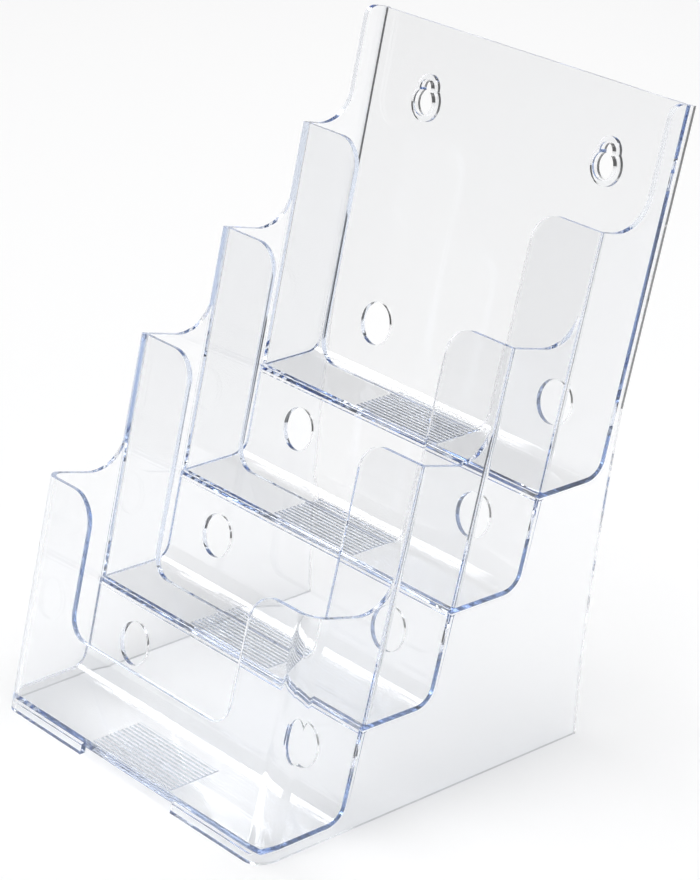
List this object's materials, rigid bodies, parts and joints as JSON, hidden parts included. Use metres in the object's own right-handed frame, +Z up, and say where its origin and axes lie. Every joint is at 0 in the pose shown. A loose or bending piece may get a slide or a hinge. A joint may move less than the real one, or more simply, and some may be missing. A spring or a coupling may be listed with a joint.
{
  "type": "leaflet rack",
  "caption": "Clear plastic stepped leaflet rack for a counter or a wall: leaning pockets, each higher and further back, cut-away fronts, ribbed floors and keyholes in the back.",
  "frame": {"origin": "middle of the bounding box at the ground, under the base sides", "axes": "+Z up, +Y from the front of the pockets to the back, +X to the right as seen from the front"},
  "size_m": [0.1712, 0.1992, 0.2348],
  "materials": {
    "pocket_clear": "clear, polished",
    "sheet_clear": "clear, polished",
    "base_clear": "clear, polished"
  },
  "bodies": {
    "root": {"pocket_wall_1": "pocket_clear", "pocket_wall_2": "pocket_clear", "pocket_wall_3": "pocket_clear", "pocket_wall_4": "pocket_clear", "tier_sheet_1": "sheet_clear", "tier_sheet_2": "sheet_clear", "tier_sheet_3": "sheet_clear", "back_sheet": "sheet_clear", "left_base_side": "base_clear", "right_base_side": "base_clear"}
  },
  "joints": []
}
